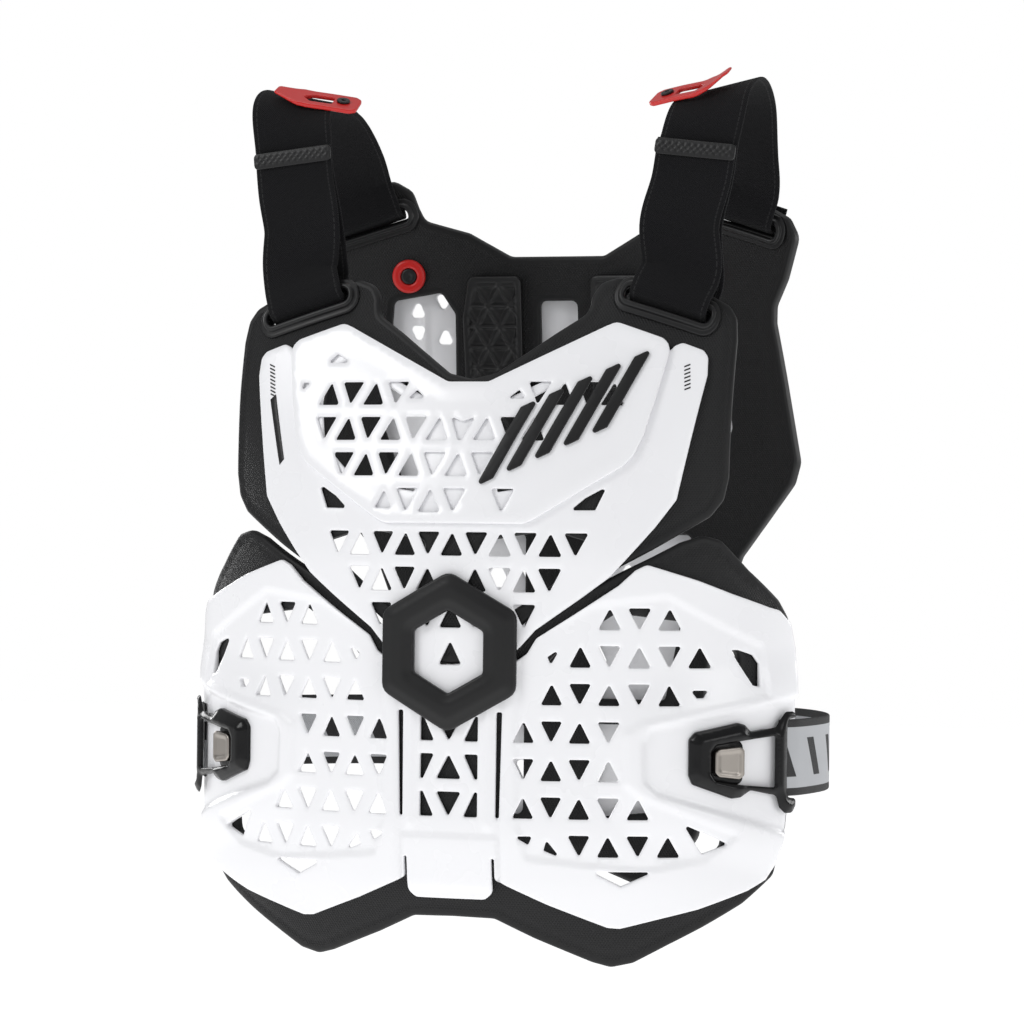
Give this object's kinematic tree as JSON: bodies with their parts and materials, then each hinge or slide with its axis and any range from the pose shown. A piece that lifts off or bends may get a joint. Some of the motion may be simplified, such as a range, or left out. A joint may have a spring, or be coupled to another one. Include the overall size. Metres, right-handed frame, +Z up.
{
  "type": "roost deflector",
  "caption": "Motocross chest protector: white perforated plates on black foam, ribbed back panel, shoulder straps through slots, side straps with hook buckles; stands as worn, no wearer.",
  "frame": {"origin": "the point midway between the two shoulder straps at their highest line, at half the depth from chest to back; the shoulders that carry the part meet it at this height", "axes": "+Z up, -Y out of the chest, +X towards the right of someone who looks at the chest"},
  "size_m": [0.4364, 0.2671, 0.5944],
  "materials": {
    "plate": "satin white, moulded",
    "foam": "matt moulded foam with a fine woven emboss",
    "rubber": "satin black moulded rubber",
    "graphic": "satin black print film",
    "strap": "matt black webbing",
    "webbing": "light grey webbing with black edges",
    "buckle": "satin black moulded plastic",
    "button": "brushed nickel",
    "red": "satin red"
  },
  "bodies": {
    "root": {"front_foam_upper": "foam", "front_foam_lower": "foam", "back_foam": "foam", "lower_plate": "plate", "chest_plate_outer": "plate", "chest_plate_inner": "plate", "back_shell": "plate", "centre_badge": "rubber", "front_slot_ring_right": "rubber", "front_slot_ring_left": "rubber", "back_slot_ring_right": "rubber", "back_slot_ring_left": "rubber", "back_pad_right": "foam", "back_pad_left": "foam", "back_rivet_right": "red", "back_rivet_left": "red", "shoulder_strap_right": "strap", "shoulder_strap_left": "strap", "strap_tab_right": "rubber", "strap_tab_left": "rubber", "shoulder_plate_right": "red", "shoulder_plate_left": "red", "hook_buckle_right": "buckle", "hook_buckle_left": "buckle", "hook_button_right": "button", "hook_button_left": "button", "side_strap_right": "webbing", "side_strap_left": "webbing", "graphic_bar_1": "graphic", "graphic_bar_2": "graphic", "graphic_bar_3": "graphic", "graphic_bar_4": "graphic", "graphic_bar_5": "graphic"}
  },
  "joints": []
}
